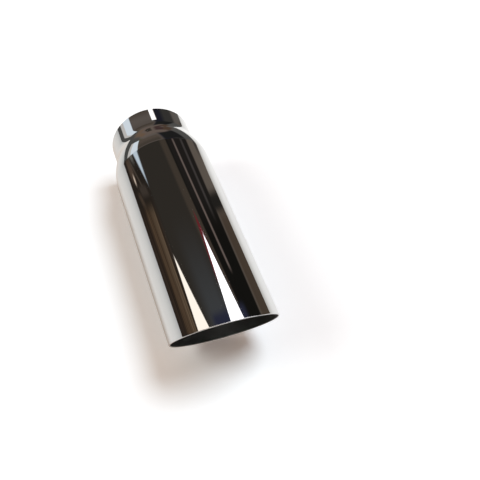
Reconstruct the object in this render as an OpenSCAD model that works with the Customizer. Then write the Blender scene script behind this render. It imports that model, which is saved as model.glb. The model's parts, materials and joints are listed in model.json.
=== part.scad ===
// Angle-cut exhaust tip: one thin wall drawn to a slotted collar, a neck, a round shoulder,
// a straight body and a slanted outlet with a rounded lip. The axis runs along +X from the
// inlet mouth, at the origin, to the outlet. The long side of the slant is on top, at +Z.

/* [Body] */
// Outside diameter of the body
body_d = 101.6; // [92:0.1:130]
// Length along the long side, from the inlet mouth to the lip
overall_l = 305; // [220:1:420]
// Thickness of the sheet, the same all over
wall = 1.5; // [1:0.1:3]
// Slant of the outlet away from a square cut, in degrees
cut_angle = 30; // [0:1:45]

/* [Collar] */
// Inside diameter of the collar, which takes the tailpipe
bore_d = 83.5; // [70:0.1:84]
// Straight length of the collar, from the mouth to the neck
collar_l = 23; // [22:0.5:50]
// Width of the bevel that breaks the mouth's inner and outer edges
mouth_bevel = 0.3; // [0.1:0.05:0.45]

/* [Shoulder] */
// Outside radius of the neck's hollow bend, next to the collar
neck_r = 34; // [10:1:60]
// Outside radius of the round shoulder, next to the body
shoulder_r = 76; // [40:1:110]

/* [Relief slots] */
// Number of slots that let the collar close on the pipe
slot_n = 3; // [2:1:6]
// Width of each slot
slot_w = 5; // [2:0.5:8]
// Length of each slot, from the mouth to its square end
slot_l = 19.5; // [8:0.5:22]
// Angle from the long side of the slant to the first slot, towards +Y
slot_turn = 3; // [0:1:45]

/* [Hidden] */
$fn = 144;

body_r = body_d / 2;
bore_r = bore_d / 2;
collar_r = bore_r + wall;

// The hollow bend and the round shoulder meet tangent to each other, at this slope
bend_slope = acos(1 - (body_r - collar_r) / (neck_r + shoulder_r));
// Where the round shoulder runs out into the straight body
body_x = collar_l + (neck_r + shoulder_r) * sin(bend_slope);

// The lip is a full round as wide as the sheet. Its centre crosses the axis here.
lip_r = wall / 2;
lip_x = overall_l - lip_r / cos(cut_angle) - (body_r - lip_r) * tan(cut_angle);

// How far a cutting shape runs past the surface that it cuts
over = 1;
// The hollow bend cuts this far into the faces that it joins, to cross them cleanly
bite = 0.001;

// In the section modules, x runs along the part's axis and y away from it. Depth goes
// from the outside face into the sheet: 0 is the outside face and wall is the inside one.

// From the axis out to one face of the sheet, run past both ends by extra
module face_section(depth, extra) {
    meet = [collar_l + (neck_r + depth) * sin(bend_slope),
            body_r - shoulder_r + (shoulder_r - depth) * cos(bend_slope)];
    // Collar
    translate([-extra, 0]) square([meet.x + extra, collar_r - depth]);
    // Hollow bend
    difference() {
        polygon([[collar_l, 0], [meet.x, 0], meet, [collar_l, collar_r - depth]]);
        translate([collar_l, collar_r + neck_r]) circle(r = neck_r + depth + bite);
    }
    // Round shoulder
    intersection() {
        translate([body_x, body_r - shoulder_r]) circle(r = shoulder_r - depth);
        translate([collar_l, 0]) square([body_x - collar_l + over, body_r]);
    }
    // Body
    translate([body_x, 0]) square([overall_l - body_x + extra, body_r - depth]);
}

// A corner to take off the mouth's edge at this radius, both ways
module bevel_section(radius) {
    translate([0, radius]) rotate(45) square(mouth_bevel * sqrt(2), center = true);
}

// The sheet, with its mouth's edges broken
module sheet_section() {
    difference() {
        face_section(0, 0);
        face_section(wall, over);
        bevel_section(bore_r);
        bevel_section(collar_r);
    }
}

// Turns a section about the part's axis
module turned() {
    rotate([0, 90, 0]) rotate_extrude() mirror([1, -1]) children();
}

// Leans what is square to the axis at the origin into the plane of the slant, at x.
// Each point only slides along the axis, so a round wall stays round.
module leant(x) {
    translate([x, 0, 0])
        multmatrix([[1, 0, tan(cut_angle), 0], [0, 1, 0, 0], [0, 0, 1, 0], [0, 0, 0, 1]])
            children();
}

// Everything past the slant, which crosses the axis at x
module past_slant(x) {
    leant(x) translate([0, -body_d, -body_d]) cube([2 * body_d, 2 * body_d, 2 * body_d]);
}

// One relief slot, cut in from the mouth at +Z
module slot_cut() {
    translate([-over, -slot_w / 2, 0]) cube([slot_l + over, slot_w, collar_r + over]);
}

// The full round that finishes the outlet's edge
module lip() {
    leant(lip_x) turned() intersection() {
        translate([0, body_r - lip_r]) circle(r = lip_r);
        translate([0, body_r - wall]) square([lip_r, wall]);
    }
}

module tip_shell() {
    color([0.78, 0.79, 0.8]) {
        difference() {
            turned() sheet_section();
            past_slant(lip_x);
            for (i = [0:slot_n - 1])
                rotate([i * 360 / slot_n - slot_turn, 0, 0]) slot_cut();
        }
        lip();
    }
}

tip_shell();
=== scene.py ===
"""The looks of a mirror-polished exhaust tip, on a pale table in a dark room with bright windows."""

import json
import math
from collections import namedtuple

import bpy
from bpy.props import (
    FloatProperty,
    FloatVectorProperty,
    IntProperty,
    PointerProperty,
)
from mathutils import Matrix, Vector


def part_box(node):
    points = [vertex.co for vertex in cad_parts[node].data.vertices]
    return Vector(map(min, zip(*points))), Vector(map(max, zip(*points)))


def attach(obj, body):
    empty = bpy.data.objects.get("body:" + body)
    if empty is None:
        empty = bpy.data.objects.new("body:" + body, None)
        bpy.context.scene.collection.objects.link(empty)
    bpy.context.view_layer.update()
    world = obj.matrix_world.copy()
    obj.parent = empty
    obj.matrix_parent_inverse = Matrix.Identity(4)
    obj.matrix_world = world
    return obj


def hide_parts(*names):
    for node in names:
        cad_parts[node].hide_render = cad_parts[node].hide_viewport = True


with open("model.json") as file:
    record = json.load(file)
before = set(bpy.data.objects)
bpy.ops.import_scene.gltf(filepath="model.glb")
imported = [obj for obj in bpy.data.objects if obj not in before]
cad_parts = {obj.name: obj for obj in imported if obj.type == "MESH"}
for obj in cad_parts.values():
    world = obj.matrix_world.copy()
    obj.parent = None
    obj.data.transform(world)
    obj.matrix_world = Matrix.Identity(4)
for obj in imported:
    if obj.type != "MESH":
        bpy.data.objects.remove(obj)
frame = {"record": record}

bl_info = {
    "name": "Exhaust Tip",
    "version": (1, 0, 0),
    "blender": (4, 5, 0),
    "location": "3D View > Sidebar > Exhaust Tip",
    "description": "Makes a polished exhaust tip with a slotted collar, and the stage it is seen on",
    "category": "Add Mesh",
}

MM = 0.001
TIP_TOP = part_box("tip_shell")[1]
MOUNTS = {mount["name"]: mount for mount in frame["record"]["mounts"]}


class TipSizes(bpy.types.PropertyGroup):
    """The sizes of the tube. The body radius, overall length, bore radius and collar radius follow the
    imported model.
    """

    body_radius: FloatProperty(
        name="Body Radius", description="Outside radius of the body",
        default=TIP_TOP.z, unit="LENGTH")
    overall_length: FloatProperty(
        name="Overall Length", description="From the inlet mouth to the lip, along the long side",
        default=TIP_TOP.x, unit="LENGTH")
    bore_radius: FloatProperty(
        name="Bore Radius", description="Inside radius of the collar",
        default=MOUNTS["inlet_bore"]["dims"]["r_mm"] * MM, unit="LENGTH")
    collar_radius: FloatProperty(
        name="Collar Radius", description="Outside radius of the collar",
        default=MOUNTS["clamp_seat"]["dims"]["r_mm"] * MM, unit="LENGTH")
    collar_length: FloatProperty(
        name="Collar Length", description="Straight length of the collar",
        default=23 * MM, unit="LENGTH")
    mouth_bevel: FloatProperty(
        name="Mouth Bevel", description="Width of the bevel that breaks the mouth's edges",
        default=0.3 * MM, unit="LENGTH")
    neck_radius: FloatProperty(
        name="Neck Radius", description="Outside radius of the hollow bend next to the collar",
        default=34 * MM, unit="LENGTH")
    shoulder_radius: FloatProperty(
        name="Shoulder Radius", description="Outside radius of the round shoulder",
        default=76 * MM, unit="LENGTH")
    cut_angle: FloatProperty(
        name="Cut Angle", description="Slant of the outlet away from a square cut",
        default=math.radians(30), subtype="ANGLE")
    slot_count: IntProperty(
        name="Slots", description="Number of relief slots in the collar",
        default=3, min=1)
    slot_width: FloatProperty(
        name="Slot Width", description="Width of each relief slot",
        default=5 * MM, unit="LENGTH")
    slot_length: FloatProperty(
        name="Slot Length", description="Length of each relief slot from the mouth",
        default=19.5 * MM, unit="LENGTH")
    slot_turn: FloatProperty(
        name="Slot Turn", description="Angle from the long side of the slant to the first slot",
        default=math.radians(3), subtype="ANGLE")
    columns: IntProperty(
        name="Columns", description="Number of faces around the tube",
        default=360, min=24)


class TipFinish(bpy.types.PropertyGroup):
    """The colours and polish of the steel."""

    steel_colour: FloatVectorProperty(
        name="Steel", description="Colour that the polished steel reflects",
        default=(0.78, 0.79, 0.8), subtype="COLOR")
    inside_colour: FloatVectorProperty(
        name="Inside", description="Colour of the unpolished inside",
        default=(0.42, 0.43, 0.43), subtype="COLOR")
    polish_roughness: FloatProperty(
        name="Polish", description="Roughness of the mirror polish where it is clearest",
        default=0.015, min=0, max=1)
    inside_roughness: FloatProperty(
        name="Inside Roughness", description="Roughness of the unpolished inside",
        default=0.3, min=0, max=1)
    edge_roughness: FloatProperty(
        name="Edge Roughness", description="Roughness of the buffed cut edges",
        default=0.1, min=0, max=1)
    ripple: FloatProperty(
        name="Ripple", description="Height of the faint waves that drawing leaves in the sheet",
        default=0.004 * MM, unit="LENGTH")


class StageLook(bpy.types.PropertyGroup):
    """The table, the light and the camera."""

    table_colour: FloatVectorProperty(
        name="Table", description="Colour of the pale table",
        default=(0.96, 0.96, 0.96), subtype="COLOR")
    table_glow: FloatProperty(
        name="Table Glow", description="White added to the table for the eye and the mirror",
        default=0.14, min=0, max=1)
    sheet_half_width: FloatProperty(
        name="Sheet Half Width", description="How far the white sheet runs to each side of the tube",
        default=0.459, unit="LENGTH")
    sheet_back: FloatProperty(
        name="Sheet Back", description="How far the sheet runs behind the inlet, in line with the tube",
        default=0.225, unit="LENGTH")
    sheet_left_slant: FloatProperty(
        name="Sheet Left Slant", description="How much further back the sheet runs per metre to the left",
        default=0.66)
    sheet_right_slant: FloatProperty(
        name="Sheet Right Slant", description="How much further back the sheet runs per metre to the right",
        default=0.24)
    sheet_front: FloatProperty(
        name="Sheet Front", description="How far the white sheet runs to the front of the inlet",
        default=1.4, unit="LENGTH")
    key_colour: FloatVectorProperty(
        name="Key Light", description="Light on a level surface from the right windows",
        default=(0.545, 0.64, 0.71), subtype="COLOR")
    side_colour: FloatVectorProperty(
        name="Side Light", description="Light on a level surface from the left windows",
        default=(0.21, 0.23, 0.23), subtype="COLOR")
    fill_colour: FloatVectorProperty(
        name="Fill", description="Light on a level surface that comes evenly from the whole room",
        default=(0.265, 0.13, 0.055), subtype="COLOR")
    camera_place: FloatVectorProperty(
        name="Camera Place", description="Where the camera stands",
        default=(0.69115, -0.1196, 0.57537), subtype="TRANSLATION")
    camera_tilt: FloatProperty(
        name="Camera Tilt", description="Tilt of the camera up from looking straight down",
        default=math.radians(43.34), subtype="ANGLE")
    camera_turn: FloatProperty(
        name="Camera Turn", description="Turn of the camera about the vertical",
        default=math.radians(72.106), subtype="ANGLE")
    camera_lens: FloatProperty(
        name="Camera Lens", description="Focal length on a 36 mm sensor, in millimetres",
        default=60.5525, min=1)


class Sum:
    """A number that a socket carries in a node tree. Arithmetic on it adds Math nodes."""

    def __init__(self, tree, socket):
        self.tree = tree
        self.socket = socket

    def math(self, operation, *others):
        return calculate(self.tree, operation, self, *others)

    def __add__(self, other):
        return self.math("ADD", other)

    def __radd__(self, other):
        return self.math("ADD", other)

    def __sub__(self, other):
        return self.math("SUBTRACT", other)

    def __rsub__(self, other):
        return calculate(self.tree, "SUBTRACT", other, self)

    def __mul__(self, other):
        return self.math("MULTIPLY", other)

    def __rmul__(self, other):
        return self.math("MULTIPLY", other)

    def __truediv__(self, other):
        return self.math("DIVIDE", other)

    def sin(self):
        return self.math("SINE")

    def cos(self):
        return self.math("COSINE")

    def tan(self):
        return self.math("TANGENT")

    def acos(self):
        return self.math("ARCCOSINE")

    def over(self, edge, softness):
        """0 below the edge and 1 above it, with a smooth step of this width."""
        step = add(self.tree, "ShaderNodeMapRange", {"interpolation_type": "SMOOTHSTEP"}, {
            "Value": self, "From Min": edge - softness / 2, "From Max": edge + softness / 2})
        return Sum(self.tree, step.outputs["Result"])

    def within(self, middle, half, softness):
        """1 up to half a width from the middle and 0 past it, with a smooth step of this width."""
        return (half - (self - middle).math("ABSOLUTE")).over(0.0, softness)


def calculate(tree, operation, *values):
    """A Math node on these values."""
    node = tree.nodes.new("ShaderNodeMath")
    node.operation = operation
    for place, value in enumerate(values):
        feed(tree, node.inputs[place], value)
    return Sum(tree, node.outputs[0])


def feed(tree, socket, value):
    """Links a value to a socket, or sets it there when it is plain."""
    if isinstance(value, Sum):
        tree.links.new(value.socket, socket)
    elif isinstance(value, bpy.types.NodeSocket):
        tree.links.new(value, socket)
    else:
        socket.default_value = value


def add(tree, kind, settings=None, values=None):
    """A new node with its settings and inputs."""
    node = tree.nodes.new(kind)
    for name, setting in (settings or {}).items():
        setattr(node, name, setting)
    for name, value in (values or {}).items():
        feed(tree, node.inputs[name], value)
    return node


def vector(tree, x=0.0, y=0.0, z=0.0):
    """The vector of these three numbers."""
    return add(tree, "ShaderNodeCombineXYZ", values={"X": x, "Y": y, "Z": z}).outputs[0]


def numbers(tree, socket):
    """The three numbers of the vector that a socket carries."""
    split = add(tree, "ShaderNodeSeparateXYZ", values={0: socket})
    return [Sum(tree, split.outputs[key]) for key in "XYZ"]


def new_group(name, kind, inputs, outputs):
    """An empty node group with these sockets, and the nodes that stand for them inside it."""
    group = bpy.data.node_groups.new(name, kind)
    for socket_name, socket_kind in inputs:
        group.interface.new_socket(socket_name, in_out="INPUT", socket_type=socket_kind)
    for socket_name, socket_kind in outputs:
        group.interface.new_socket(socket_name, in_out="OUTPUT", socket_type=socket_kind)
    return group, group.nodes.new("NodeGroupInput"), group.nodes.new("NodeGroupOutput")


# Rows of faces along each stretch of the section
STRAIGHT_ROWS = 12
NECK_ROWS = 24
SHOULDER_ROWS = 36
LIP_ROWS = 16
# Share of a straight stretch that its first and its last row take
NARROW_ROW = 0.0002
# Faces that look this little along the radius belong to a cut edge
EDGE_LOOK = 0.75
# A crease sharper than this stays sharp
CREASE = math.radians(25)
# Points closer than this are joined
WELD = 1e-6


def turned_shell_tree():
    """The rule of the whole shell: a section turned about the axis, slanted at the outlet and slotted."""
    lengths = ("Body Radius", "Overall Length", "Bore Radius", "Collar Radius", "Collar Length",
               "Mouth Bevel", "Neck Radius", "Shoulder Radius", "Cut Angle",
               "Slot Width", "Slot Length", "Slot Turn")
    inputs = [(name, "NodeSocketFloat") for name in lengths]
    inputs += [("Slots", "NodeSocketInt"), ("Columns", "NodeSocketInt")]
    inputs += [(name, "NodeSocketMaterial") for name in ("Polish", "Inside", "Cut Edge")]
    tree, given, result = new_group(
        "Turned Shell", "GeometryNodeTree", inputs, [("Geometry", "NodeSocketGeometry")])
    (body_r, overall_l, bore_r, collar_r, collar_l, bevel, neck_r, shoulder_r, cut,
     slot_w, slot_l, slot_turn, slots, columns) = (
        Sum(tree, given.outputs[name]) for name in lengths + ("Slots", "Columns"))

    wall = collar_r - bore_r
    bend = (1 - (body_r - collar_r) / (neck_r + shoulder_r)).acos()
    body_x = collar_l + (neck_r + shoulder_r) * bend.sin()
    lip_r = wall / 2
    lean = cut.tan()
    lip_x = overall_l - lip_r / cut.cos() - (body_r - lip_r) * lean

    # On a flat grid one metre square, X says how far along its stretch a point is, and Y how far round
    grid_x, grid_y, _ = numbers(tree, add(tree, "GeometryNodeInputPosition").outputs[0])
    along = grid_x + 0.5
    turn = (grid_y + 0.5) * math.tau
    across, up = turn.sin(), turn.cos()
    # The same share with the first and last row narrow, so that a bend next to it doesn't sway the mirror
    first = (along * STRAIGHT_ROWS).math("MINIMUM", 1.0)
    last = ((along - 1) * STRAIGHT_ROWS + 1).math("MAXIMUM", 0.0)
    between = (along * STRAIGHT_ROWS - first - last) / (STRAIGHT_ROWS - 2)
    guarded = between * (1 - 2 * NARROW_ROW) + (first + last) * NARROW_ROW
    stretches = []

    def stretch(rows, x, radius):
        """One strip of the surface, this many rows long and all the way round."""
        grid = add(tree, "GeometryNodeMeshGrid", values={
            "Size X": 1.0, "Size Y": 1.0, "Vertices X": rows + 1, "Vertices Y": columns + 1})
        moved = add(tree, "GeometryNodeSetPosition", values={
            "Geometry": grid.outputs["Mesh"],
            "Position": vector(tree, x, radius * across, radius * up)})
        stretches.append(moved.outputs[0])

    def line(rows, start, end):
        """A straight stretch from one (x, radius) to another."""
        share = guarded if rows == STRAIGHT_ROWS else along
        stretch(rows, start[0] + (end[0] - start[0]) * share, start[1] + (end[1] - start[1]) * share)

    def bent(depth, share):
        """The neck's hollow bend, at this depth in the sheet."""
        angle = bend * share
        stretch(NECK_ROWS, collar_l + (neck_r + depth) * angle.sin(),
                collar_r + neck_r - (neck_r + depth) * angle.cos())

    def rounded(depth, share):
        """The shoulder's round, at this depth in the sheet."""
        angle = bend * (1 - share)
        stretch(SHOULDER_ROWS, body_x - (shoulder_r - depth) * angle.sin(),
                body_r - shoulder_r + (shoulder_r - depth) * angle.cos())

    # The section is followed once round: out along the outside, over the lip, and back along the inside
    inner_r = body_r - wall
    line(STRAIGHT_ROWS, (bevel, collar_r), (collar_l, collar_r))
    bent(0.0, along)
    rounded(0.0, along)
    line(STRAIGHT_ROWS, (body_x, body_r), (lip_x + body_r * up * lean, body_r))
    lip_turn = along * math.pi
    lip_radius = body_r - lip_r + lip_r * lip_turn.cos()
    stretch(LIP_ROWS, lip_x + lip_radius * up * lean + lip_r * lip_turn.sin(), lip_radius)
    line(STRAIGHT_ROWS, (lip_x + inner_r * up * lean, inner_r), (body_x, inner_r))
    rounded(wall, 1 - along)
    bent(wall, 1 - along)
    line(STRAIGHT_ROWS, (collar_l, bore_r), (bevel, bore_r))
    line(1, (bevel, bore_r), (0.0, bore_r + bevel))
    line(1, (0.0, bore_r + bevel), (0.0, collar_r - bevel))
    line(1, (0.0, collar_r - bevel), (bevel, collar_r))

    joined = add(tree, "GeometryNodeJoinGeometry")
    for piece in reversed(stretches):
        tree.links.new(piece, joined.inputs[0])
    welded = add(tree, "GeometryNodeMergeByDistance", values={
        "Geometry": joined.outputs[0], "Distance": WELD})

    # One cutter a slot: it runs out past the mouth and through the sheet
    clear = wall * 2
    block = add(tree, "GeometryNodeMeshCube", values={
        "Size": vector(tree, slot_l + clear, slot_w, clear * 2)})
    placed = add(tree, "GeometryNodeTransform", values={
        "Geometry": block.outputs["Mesh"],
        "Translation": vector(tree, (slot_l - clear) / 2, z=(bore_r + collar_r) / 2)})
    points = add(tree, "GeometryNodePoints", values={"Count": slots})
    number = Sum(tree, add(tree, "GeometryNodeInputIndex").outputs[0])
    cutters = add(tree, "GeometryNodeInstanceOnPoints", values={
        "Points": points.outputs[0],
        "Instance": placed.outputs[0],
        "Rotation": vector(tree, number * math.tau / slots - slot_turn)})
    cut_away = add(tree, "GeometryNodeRealizeInstances", values={"Geometry": cutters.outputs[0]})
    slotted = add(tree, "GeometryNodeMeshBoolean", {"operation": "DIFFERENCE", "solver": "EXACT"}, {
        "Mesh 1": welded.outputs[0], "Mesh 2": cut_away.outputs[0]})

    # Smooth all over, with sharp creases at the cut edges
    smooth = add(tree, "GeometryNodeSetShadeSmooth", {"domain": "FACE"}, {
        "Geometry": slotted.outputs["Mesh"], "Shade Smooth": True})
    crease = Sum(tree, add(tree, "GeometryNodeInputMeshEdgeAngle").outputs["Unsigned Angle"])
    creased = add(tree, "GeometryNodeSetShadeSmooth", {"domain": "EDGE"}, {
        "Geometry": smooth.outputs[0], "Shade Smooth": False,
        "Selection": crease.math("GREATER_THAN", CREASE)})
    whole = add(tree, "GeometryNodeRealizeInstances", values={"Geometry": creased.outputs[0]})

    # A face's finish follows from the way it looks: out, in, or along a cut edge
    _, look_y, look_z = numbers(tree, add(tree, "GeometryNodeInputNormal").outputs[0])
    _, y, z = numbers(tree, add(tree, "GeometryNodeInputPosition").outputs[0])
    outward = (look_y * y + look_z * z) / (y * y + z * z).math("SQRT")
    finished = whole.outputs[0]
    for name, chosen in (
            ("Cut Edge", None),
            ("Polish", outward.math("GREATER_THAN", EDGE_LOOK)),
            ("Inside", outward.math("LESS_THAN", -EDGE_LOOK))):
        values = {"Geometry": finished, "Material": given.outputs[name]}
        if chosen is not None:
            values["Selection"] = chosen
        finished = add(tree, "GeometryNodeSetMaterial", values=values).outputs[0]
    tree.links.new(finished, result.inputs[0])
    return tree


def made_by_tree(name, tree, values):
    """A plain mesh object of what a Geometry Nodes tree makes from these named values."""
    carrier = bpy.data.objects.new(name + "_rule", bpy.data.meshes.new(name + "_rule"))
    bpy.context.scene.collection.objects.link(carrier)
    modifier = carrier.modifiers.new("Rule", "NODES")
    modifier.node_group = tree
    for item in tree.interface.items_tree:
        if item.item_type == "SOCKET" and item.in_out == "INPUT":
            modifier[item.identifier] = values[item.name]
    evaluated = carrier.evaluated_get(bpy.context.evaluated_depsgraph_get())
    mesh = bpy.data.meshes.new_from_object(evaluated)
    mesh.name = name
    bpy.data.objects.remove(carrier)
    if not mesh.polygons:
        raise RuntimeError(f"the rule of {name} made no faces")
    made = bpy.data.objects.new(name, mesh)
    bpy.context.scene.collection.objects.link(made)
    return made


def worked_surface_group():
    """What work leaves on steel: fine lines and slow clouds of haze. The scales count them per metre."""
    tree, given, result = new_group(
        "Worked Surface", "ShaderNodeTree",
        [("Lines Along Axis", "NodeSocketFloat"), ("Lines Across", "NodeSocketFloat"),
         ("Clouds", "NodeSocketFloat")],
        [("Lines", "NodeSocketFloat"), ("Haze", "NodeSocketFloat")])
    place = add(tree, "ShaderNodeTexCoord").outputs["Object"]
    along, across = (Sum(tree, given.outputs[name]) for name in ("Lines Along Axis", "Lines Across"))
    stretched = add(tree, "ShaderNodeVectorMath", {"operation": "MULTIPLY"}, {
        0: place, 1: vector(tree, along, across, across)})
    lines = add(tree, "ShaderNodeTexNoise", values={
        "Vector": stretched.outputs[0], "Scale": 1.0, "Detail": 3.0, "Roughness": 0.6})
    haze = add(tree, "ShaderNodeTexNoise", values={
        "Vector": place, "Scale": given.outputs["Clouds"], "Detail": 4.0, "Roughness": 0.55})
    feed(tree, result.inputs["Lines"], lines.outputs["Fac"])
    feed(tree, result.inputs["Haze"], haze.outputs["Fac"])
    return tree


def new_material(name):
    """A material with a bare tree: its Principled shader and its output."""
    material = bpy.data.materials.new(name)
    material.use_nodes = True
    tree = material.node_tree
    tree.nodes.clear()
    shader = add(tree, "ShaderNodeBsdfPrincipled")
    output = add(tree, "ShaderNodeOutputMaterial")
    tree.links.new(shader.outputs[0], output.inputs["Surface"])
    return material, tree, shader


RIPPLES_PER_METRE = 28.0
# Haze shows where its clouds pass this level, with a step this soft
HAZE_LEVEL = 0.6
HAZE_SOFTNESS = 0.5


def worked_steel(name, worked, colour, roughness, haze_gain, line_gain, line_height, scales, ripple=0.0):
    """Steel whose roughness and relief follow the worked surface group."""
    material, tree, shader = new_material(name)
    shader.inputs["Metallic"].default_value = 1.0
    shader.inputs["Base Color"].default_value = (*colour, 1.0)
    marks = add(tree, "ShaderNodeGroup", {"node_tree": worked}, scales)
    lines, haze = (Sum(tree, marks.outputs[key]) for key in ("Lines", "Haze"))
    feed(tree, shader.inputs["Roughness"],
         roughness + haze.over(HAZE_LEVEL, HAZE_SOFTNESS) * haze_gain + lines * line_gain)
    height = lines * line_height
    if ripple:
        place = add(tree, "ShaderNodeTexCoord").outputs["Object"]
        wave = add(tree, "ShaderNodeTexNoise", values={
            "Vector": place, "Scale": RIPPLES_PER_METRE, "Detail": 0.0})
        height = height + Sum(tree, wave.outputs["Fac"]) * ripple
    relief = add(tree, "ShaderNodeBump", values={"Strength": 1.0, "Distance": 1.0, "Height": height})
    feed(tree, shader.inputs["Normal"], relief.outputs[0])
    return material


def steel_materials(finish):
    """The three finishes of the one sheet."""
    worked = worked_surface_group()
    polish = worked_steel(
        "mirror_polish", worked, finish.steel_colour, finish.polish_roughness,
        haze_gain=0.02, line_gain=0.012, line_height=0.00002 * MM, ripple=finish.ripple,
        scales={"Lines Along Axis": 2600.0, "Lines Across": 22.0, "Clouds": 24.0})
    inside = worked_steel(
        "mill_finish_inside", worked, finish.inside_colour, finish.inside_roughness,
        haze_gain=0.12, line_gain=0.1, line_height=0.0004 * MM,
        scales={"Lines Along Axis": 8.0, "Lines Across": 1500.0, "Clouds": 40.0})
    edge = worked_steel(
        "buffed_edge", worked, finish.steel_colour, finish.edge_roughness,
        haze_gain=0.08, line_gain=0.1, line_height=0.0002 * MM,
        scales={"Lines Along Axis": 3000.0, "Lines Across": 3000.0, "Clouds": 120.0})
    return {"Polish": polish, "Inside": inside, "Cut Edge": edge}


class TIP_OT_shell(bpy.types.Operator):
    """Makes the polished shell: collar, neck, shoulder, body and lip in one sheet"""

    bl_idname = "exhaust_tip.shell"
    bl_label = "Polished Shell"

    def execute(self, context):
        sizes = context.scene.tip_sizes
        values = {
            "Body Radius": sizes.body_radius,
            "Overall Length": sizes.overall_length,
            "Bore Radius": sizes.bore_radius,
            "Collar Radius": sizes.collar_radius,
            "Collar Length": sizes.collar_length,
            "Mouth Bevel": sizes.mouth_bevel,
            "Neck Radius": sizes.neck_radius,
            "Shoulder Radius": sizes.shoulder_radius,
            "Cut Angle": sizes.cut_angle,
            "Slot Width": sizes.slot_width,
            "Slot Length": sizes.slot_length,
            "Slot Turn": sizes.slot_turn,
            "Slots": sizes.slot_count,
            "Columns": sizes.columns,
            **steel_materials(context.scene.tip_finish),
        }
        shell = made_by_tree("polished_shell", turned_shell_tree(), values)
        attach(shell, "root")
        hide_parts("tip_shell")
        return {"FINISHED"}


# A stop says which colour a ramp has at one place
Stop = namedtuple("Stop", "place colour")

# The room that the steel mirrors. A direction in it has a turn about the tube's axis, in degrees from
# straight up towards the right, and a tilt away from the axis. What runs along the tube keeps its turn.
BLACK = (0.0082, 0.0076, 0.0064)
WOOD_DARK = (0.028, 0.019, 0.014)
WOOD = (0.068, 0.043, 0.026)
WOOD_LIGHT = (0.1, 0.068, 0.043)
CEILING = (0.0315, 0.0268, 0.0218)
SIDE_WALL = (0.125, 0.102, 0.083)
NEAR_ROOM = (
    Stop(-98, WOOD_DARK),
    Stop(-88, WOOD_DARK),
    Stop(-82, WOOD),
    Stop(-74, WOOD),
    Stop(-69, WOOD_LIGHT),
    Stop(-64, WOOD_LIGHT),
    Stop(-60, WOOD_DARK),
    Stop(-53, CEILING),
    Stop(40, CEILING),
    Stop(72, BLACK),
    Stop(78, SIDE_WALL),
    Stop(98, SIDE_WALL),
    Stop(108, WOOD_DARK),
)
# The far end of the room, which only the collar and the neck mirror, is paler
FAR_CEILING = (0.12, 0.1, 0.087)
FAR_SHADE = (0.015, 0.015, 0.022)
FAR_GREY = (0.04, 0.0375, 0.034)
FAR_LOW = (0.075, 0.073, 0.068)
FAR_WALL = (0.115, 0.1, 0.088)
FAR_WALL_LOW = (0.125, 0.115, 0.105)
FAR_ROOM = (
    Stop(-106, FAR_LOW),
    Stop(-60, FAR_LOW),
    Stop(-46, FAR_CEILING),
    Stop(14, FAR_CEILING),
    Stop(24, FAR_SHADE),
    Stop(40, FAR_SHADE),
    Stop(52, FAR_GREY),
    Stop(74, FAR_GREY),
    Stop(82, FAR_WALL),
    Stop(110, FAR_WALL_LOW),
)
# The far end ends at this tilt, with a step this soft
FAR_TILT = 39.95
FAR_SOFTNESS = 0.3

# A spot is a level rectangle by azimuth from straight back towards the right, and elevation
Spot = namedtuple("Spot", "name azimuth elevation half_width half_height softness colour")
SPOTS = (
    Spot("far wall", 4.0, 6.0, 16.0, 12.0, 8.0, (0.145, 0.11, 0.092)),
    Spot("wooden post", -8.0, 2.0, 3.0, 9.0, 4.0, (0.16, 0.105, 0.07)),
    Spot("dark doorway", 1.0, 1.5, 2.6, 5.0, 2.0, (0.04, 0.033, 0.026)),
    Spot("red brown wall", 11.0, 1.5, 4.5, 6.0, 4.0, (0.058, 0.033, 0.031)),
    Spot("brown wall", 17.5, -1.0, 3.5, 8.0, 3.0, (0.08, 0.05, 0.034)),
    Spot("green plant", -17.0, 17.0, 3.0, 5.0, 4.0, (0.085, 0.08, 0.05)),
)

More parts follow.
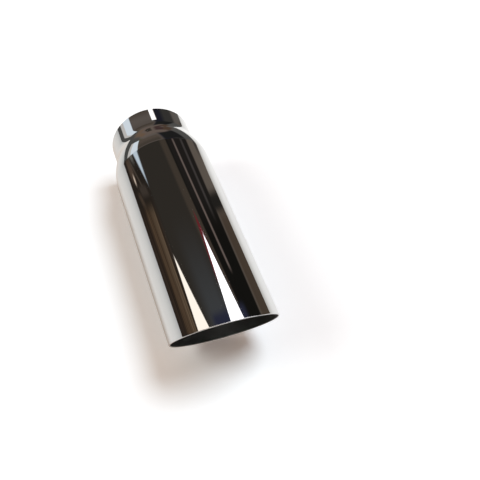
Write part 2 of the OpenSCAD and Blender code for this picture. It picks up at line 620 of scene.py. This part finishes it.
# A band runs along the tube, between two tilts, about this turn. With growing tilt it leans and spreads.
# Its sides have this softness, and its two ends these fades.
Band = namedtuple("Band", "name turn lean near far half_width spread softness fade_in fade_out colour")
BANDS = (
    Band("far ceiling", -18, 0, 23, 38.4, 34, 0, 12, 4, 0.6, (0.095, 0.073, 0.058)),
    Band("dim far ceiling", -18, 0, 31, 38.4, 32, 0, 10, 8, 0.8, (0.068, 0.054, 0.043)),
    Band("far side", 94, 0, 22, 38.4, 26, 0, 22, 8, 0.6, (0.088, 0.086, 0.08)),
    Band("far dark corner", 50, 0, 22, 38.4, 26, 0, 10, 4, 0.6, (0.0145, 0.0145, 0.0142)),
    Band("far ceiling beyond", -18, 0, 39.25, 40.0, 34, 0, 12, 1.1, 0.3, (0.07, 0.056, 0.046)),
    Band("window sill", -76, 0, 21.5, 40.0, 9.5, 0, 3, 1, 1, (0.6, 0.57, 0.54)),
    Band("far window", -62.5, 0, 21.5, 40.4, 11.5, 0, 3, 1, 1, (0.76, 0.83, 0.89)),
    Band("chair", -78, 0, 40.5, 44.8, 20, 0, 5, 1.2, 1.4, (0.022, 0.017, 0.0132)),
    Band("chair top", -77, 3, 40.0, 41.3, 7, -3, 5, 0.5, 1.0, (0.15, 0.14, 0.125)),
    Band("chair seat", -87, 0, 41.0, 42.6, 6, 0, 6, 1, 1, (0.085, 0.058, 0.042)),
    Band("chair arm", -84, 5.5, 40.8, 43.2, 1.6, 0, 3, 0.8, 0.8, (0.075, 0.058, 0.045)),
    Band("glint on the chair", -85, 0, 42.3, 42.9, 1.6, 0, 2.5, 0.5, 0.5, (0.75, 0.6, 0.48)),
    Band("chair back", -72, 3.0, 43.1, 43.9, 9.0, 0, 6, 0.5, 0.6, (0.052, 0.04, 0.032)),
    Band("chair rail", -86, 4.5, 43.6, 44.6, 4.0, 0, 6, 0.6, 0.6, (0.06, 0.042, 0.03)),
    Band("window corner", -61.5, 2.0, 39.9, 43.2, 8.2, -2.6, 4, 1, 1, (0.58, 0.67, 0.75)),
    Band("ceiling towards outlet", -12, 0.6, 50, 90, 20, 0, 26, 10, 1, (0.054, 0.057, 0.06)),
    Band("beam", 13, 1.1, 40.2, 90, 7, 0.2, 8, 1, 1, (0.058, 0.045, 0.034)),
    Band("dark corner", 50.5, 1.15, 40.2, 90, 30, 0, 2.5, 1, 1, BLACK),
    Band("dim corner", 50.5, 1.15, 40.2, 46.5, 28, 0, 6, 1, 4, (0.0155, 0.0135, 0.012)),
    Band("side wall", 90, 0, 40.2, 90, 15.5, 0, 5, 1, 1, SIDE_WALL),
    Band("dim side wall", 91.5, 0, 46.4, 90, 15, 0, 9, 3, 1, (0.071, 0.051, 0.037)),
    Band("pipe on the side wall", 86, 0, 45.3, 46.7, 15, 0, 5, 0.8, 0.8, (0.018, 0.016, 0.014)),
    Band("dim wall edge", 98, 0, 40.2, 42.4, 3.5, 0, 5, 1, 1.5, (0.05, 0.044, 0.042)),
    Band("upper shelf", 38, 0.95, 40.6, 50.8, 2.0, 0, 2.5, 1.5, 1, (0.15, 0.115, 0.1)),
    Band("lower shelf", 59, 0.3, 40.6, 46.5, 2.5, 0, 4, 1.5, 2.5, (0.055, 0.048, 0.045)),
    Band("curtain", 19.3, 0, 46.2, 51.0, 0.9, 1.5, 1.6, 1, 2, (0.15, 0.02, 0.025)),
    Band("navy by the outlet", 10, 0, 53.4, 60, 34, 0, 12, 0.8, 1, (0.024, 0.026, 0.047)),
    Band("left window", -55, 1.2, 48.6, 72, 0.6, 2.0, 1, 0.8, 1, (1.3, 1.18, 1.03)),
    Band("right window", 20.4, 0, 47.9, 72, 0.7, 1.95, 1, 0.8, 1, (2.2, 2.15, 2.2)),
)
# The wood's shades vary about this turn, as streaks that run along the tube
WOOD_TURN = -78
WOOD_HALF_WIDTH = 24
WOOD_SIDE_SOFTNESS = 10
WOOD_END_SOFTNESS = 1
STREAK_GAIN = 3.2
STREAKS_PER_DEGREE = 0.4
STREAKS_ALONG = 0.09
# Degrees in a radian, and in a full turn
DEGREES = 180 / math.pi
FULL_TURN = 360


def colour_ramp(tree, place, span, stops):
    """The colour at this place, on a ramp that spans this much about 0."""
    ramp = add(tree, "ShaderNodeValToRGB", values={"Fac": place / span + 0.5})
    elements = ramp.color_ramp.elements
    while len(elements) < len(stops):
        elements.new(0.5)
    for element, stop in zip(elements, stops):
        element.position = stop.place / span + 0.5
        element.color = (*stop.colour, 1.0)
    return ramp.outputs["Color"]


def mix_colours(tree, share, below, above):
    """The colour above laid over the one below, by share."""
    # The colours of this node are its inputs 6 and 7 and its output 2
    mixed = add(tree, "ShaderNodeMix", {"data_type": "RGBA"}, {"Factor": share, 6: below})
    feed(tree, mixed.inputs[7], above if isinstance(above, bpy.types.NodeSocket) else (*above, 1.0))
    return mixed.outputs[2]


def room_colour(tree):
    """The colour of the room in each direction."""
    x, y, z = numbers(tree, add(tree, "ShaderNodeTexCoord").outputs["Generated"])
    turn = y.math("ARCTAN2", z) * DEGREES
    # Both ends of the room are alike
    back = x.math("ABSOLUTE")
    tilt = back.acos() * DEGREES
    azimuth = y.math("ARCTAN2", back) * DEGREES
    elevation = z.math("ARCSINE") * DEGREES
    far_room, near_room = (colour_ramp(tree, turn, FULL_TURN, stops) for stops in (FAR_ROOM, NEAR_ROOM))
    colour = mix_colours(tree, tilt.over(FAR_TILT, FAR_SOFTNESS), far_room, near_room)
    for spot in SPOTS:
        share = azimuth.within(spot.azimuth, spot.half_width, spot.softness)
        share = share * elevation.within(spot.elevation, spot.half_height, spot.softness)
        colour = mix_colours(tree, share, colour, spot.colour)
    streaks = add(tree, "ShaderNodeTexNoise", values={
        "Vector": vector(tree, turn * STREAKS_PER_DEGREE, tilt * STREAKS_ALONG),
        "Scale": 1.0, "Detail": 3.0, "Roughness": 0.6})
    wood = turn.within(WOOD_TURN, WOOD_HALF_WIDTH, WOOD_SIDE_SOFTNESS)
    wood = wood * tilt.over(FAR_TILT, WOOD_END_SOFTNESS)
    gain = (Sum(tree, streaks.outputs["Fac"]) - 0.5) * wood * STREAK_GAIN + 1
    streaked = add(tree, "ShaderNodeVectorMath", {"operation": "SCALE"}, {0: colour, "Scale": gain})
    colour = streaked.outputs[0]
    for band in BANDS:
        past = tilt - band.near
        middle = past * band.lean + band.turn
        half = past * band.spread + band.half_width
        share = turn.within(middle, half, band.softness)
        share = share * tilt.over(band.near, band.fade_in) * (1 - tilt.over(band.far, band.fade_out))
        colour = mix_colours(tree, share, colour, band.colour)
    return colour


def room_world(look):
    """The world: white behind the object, an even fill for the table, and the room for the mirror."""
    world = bpy.data.worlds.new("room")
    world.use_nodes = True
    tree = world.node_tree
    tree.nodes.clear()
    rays = add(tree, "ShaderNodeLightPath")
    fill = add(tree, "ShaderNodeBackground", values={"Color": (*look.fill_colour, 1.0)})
    mirrored = add(tree, "ShaderNodeBackground", values={"Color": room_colour(tree)})
    backdrop = add(tree, "ShaderNodeBackground", values={"Color": (1.0, 1.0, 1.0, 1.0)})
    inner = add(tree, "ShaderNodeMixShader", values={
        0: rays.outputs["Is Glossy Ray"], 1: fill.outputs[0], 2: mirrored.outputs[0]})
    outer = add(tree, "ShaderNodeMixShader", values={
        0: rays.outputs["Is Camera Ray"], 1: inner.outputs[0], 2: backdrop.outputs[0]})
    output = add(tree, "ShaderNodeOutputWorld")
    tree.links.new(outer.outputs[0], output.inputs["Surface"])
    bpy.context.scene.world = world


# The wide table lies this much under the white sheet, and runs this far each way
SHEET_THICKNESS = 0.2 * MM
TABLE_HALF = 20.0
# In millimetres
SENSOR_WIDTH = 36


def table_part(name, corners, material):
    """A flat piece of the table."""
    mesh = bpy.data.meshes.new(name)
    mesh.from_pydata(corners, [], [range(len(corners))])
    mesh.materials.append(material)
    part = bpy.data.objects.new(name, mesh)
    bpy.context.scene.collection.objects.link(part)
    return part


def sheet_outline(look, z):
    """The corners of the white sheet, seen from above. Its back edge is bent in line with the tube."""
    half = look.sheet_half_width
    left = -look.sheet_back - half * look.sheet_left_slant
    right = -look.sheet_back - half * look.sheet_right_slant
    return [(left, -half, z), (look.sheet_front, -half, z), (look.sheet_front, half, z),
            (right, half, z), (-look.sheet_back, 0, z)]


# The light and shade painted on the table, which only the mirror sees, by place across the tube: painted
# shade darkens it to each side as the light falls off, brightest just right of the tube, with a painted
# warm shadow just left of it.
TABLE_SPAN = 1.0
PAINTED_TABLE_SHADE = (
    Stop(-0.4, (0.38, 0.38, 0.37)),
    Stop(-0.28, (0.48, 0.48, 0.46)),
    Stop(-0.17, (0.6, 0.59, 0.56)),
    Stop(-0.1, (0.66, 0.63, 0.59)),
    Stop(-0.05, (0.6, 0.53, 0.46)),
    Stop(0.08, (0.92, 0.92, 0.9)),
    Stop(0.18, (0.75, 0.75, 0.73)),
    Stop(0.3, (0.56, 0.55, 0.52)),
    Stop(0.4, (0.44, 0.43, 0.4)),
)


def table_material(look):
    """A pale, matt table that keeps the object's shadow. The mirror sees the light and shade painted on it,
    and the eye doesn't.
    """
    table, tree, shader = new_material("pale_table")
    shader.inputs["Roughness"].default_value = 1.0
    shader.inputs["Specular IOR Level"].default_value = 0.0
    _, across, _ = numbers(tree, add(tree, "ShaderNodeTexCoord").outputs["Object"])
    # Painted shade by place across the table, for the mirror only: darker to each side, with a painted warm
    # shadow beside the tube
    painted_shade = colour_ramp(tree, across, TABLE_SPAN, PAINTED_TABLE_SHADE)
    rays = add(tree, "ShaderNodeLightPath")
    seen = Sum(tree, rays.outputs["Is Camera Ray"])
    feed(tree, shader.inputs["Base Color"], mix_colours(tree, seen, painted_shade, look.table_colour))
    for ray in ("Is Glossy Ray", "Is Transmission Ray"):
        seen = seen.math("MAXIMUM", Sum(tree, rays.outputs[ray]))
    glow = add(tree, "ShaderNodeEmission", values={
        "Color": (1.0, 1.0, 1.0, 1.0), "Strength": seen * look.table_glow})
    lifted = add(tree, "ShaderNodeAddShader", values={0: shader.outputs[0], 1: glow.outputs[0]})
    output = next(node for node in tree.nodes if node.type == "OUTPUT_MATERIAL")
    tree.links.new(lifted.outputs[0], output.inputs["Surface"])
    return table


# How wide the light of each row of windows spreads
WINDOW_SPAN = math.radians(29)
# Where it comes from: azimuth from straight back towards the right, and elevation, in degrees
RIGHT_WINDOWS = (99, 67)
LEFT_WINDOWS = (-90, 40)


def window_light(name, azimuth, elevation, colour):
    """A far, soft light from this way, with this much light on a level surface."""
    lamp = bpy.data.lights.new(name, "SUN")
    azimuth, elevation = math.radians(azimuth), math.radians(elevation)
    lamp.color = colour
    lamp.energy = math.pi / math.sin(elevation)
    lamp.angle = WINDOW_SPAN
    light = bpy.data.objects.new(name, lamp)
    bpy.context.scene.collection.objects.link(light)
    level = math.cos(elevation)
    towards = Vector((-level * math.cos(azimuth), level * math.sin(azimuth), math.sin(elevation)))
    light.rotation_euler = towards.to_track_quat("Z", "Y").to_euler()
    light.visible_glossy = False


def stage_camera(scene, look):
    """The camera, which looks down at the tip from beyond its outlet."""
    lens = bpy.data.cameras.new("camera")
    lens.lens = look.camera_lens
    lens.sensor_width = SENSOR_WIDTH
    camera = bpy.data.objects.new("camera", lens)
    camera.location = look.camera_place
    camera.rotation_euler = (look.camera_tilt, 0, look.camera_turn)
    scene.collection.objects.link(camera)
    scene.camera = camera


class TIP_OT_stage(bpy.types.Operator):
    """Makes the pale table, the light of the room and the camera"""

    bl_idname = "exhaust_tip.stage"
    bl_label = "Stage"

    def execute(self, context):
        look = context.scene.stage_look
        table = table_material(look)
        top = -context.scene.tip_sizes.body_radius
        table_part("white_sheet", sheet_outline(look, top), table)
        low = top - SHEET_THICKNESS
        far = TABLE_HALF
        # Only the eye sees the wide table, which fills the picture with the sheet's white
        wide = table_part("wide_table", [
            (-far, -far, low), (far, -far, low), (far, far, low), (-far, far, low)], table)
        wide.visible_glossy = False
        wide.visible_diffuse = False
        wide.visible_shadow = False
        window_light("right_window_light", *RIGHT_WINDOWS, look.key_colour)
        window_light("left_window_light", *LEFT_WINDOWS, look.side_colour)
        room_world(look)
        stage_camera(context.scene, look)
        context.scene.view_settings.view_transform = "Standard"
        return {"FINISHED"}


class TIP_PT_panel(bpy.types.Panel):
    """Lists the sizes, the finish, the stage and the operators that make them"""

    bl_idname = "TIP_PT_panel"
    bl_label = "Exhaust Tip"
    bl_space_type = "VIEW_3D"
    bl_region_type = "UI"
    bl_category = "Exhaust Tip"

    def draw(self, context):
        scene = context.scene
        for operator, settings in (
                (TIP_OT_shell, (scene.tip_sizes, scene.tip_finish)),
                (TIP_OT_stage, (scene.stage_look,))):
            box = self.layout.box()
            for group in settings:
                for name in group.bl_rna.properties.keys():
                    if name not in {"rna_type", "name"}:
                        box.prop(group, name)
            box.operator(operator.bl_idname)


CLASSES = (TipSizes, TipFinish, StageLook, TIP_OT_shell, TIP_OT_stage, TIP_PT_panel)


def register():
    for cls in CLASSES:
        bpy.utils.register_class(cls)
    bpy.types.Scene.tip_sizes = PointerProperty(type=TipSizes)
    bpy.types.Scene.tip_finish = PointerProperty(type=TipFinish)
    bpy.types.Scene.stage_look = PointerProperty(type=StageLook)


def unregister():
    del bpy.types.Scene.stage_look
    del bpy.types.Scene.tip_finish
    del bpy.types.Scene.tip_sizes
    for cls in reversed(CLASSES):
        bpy.utils.unregister_class(cls)


def main():
    """Makes the object and its stage."""
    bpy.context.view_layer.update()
    register()
    bpy.ops.exhaust_tip.shell()
    bpy.ops.exhaust_tip.stage()


if __name__ == "__main__":
    main()
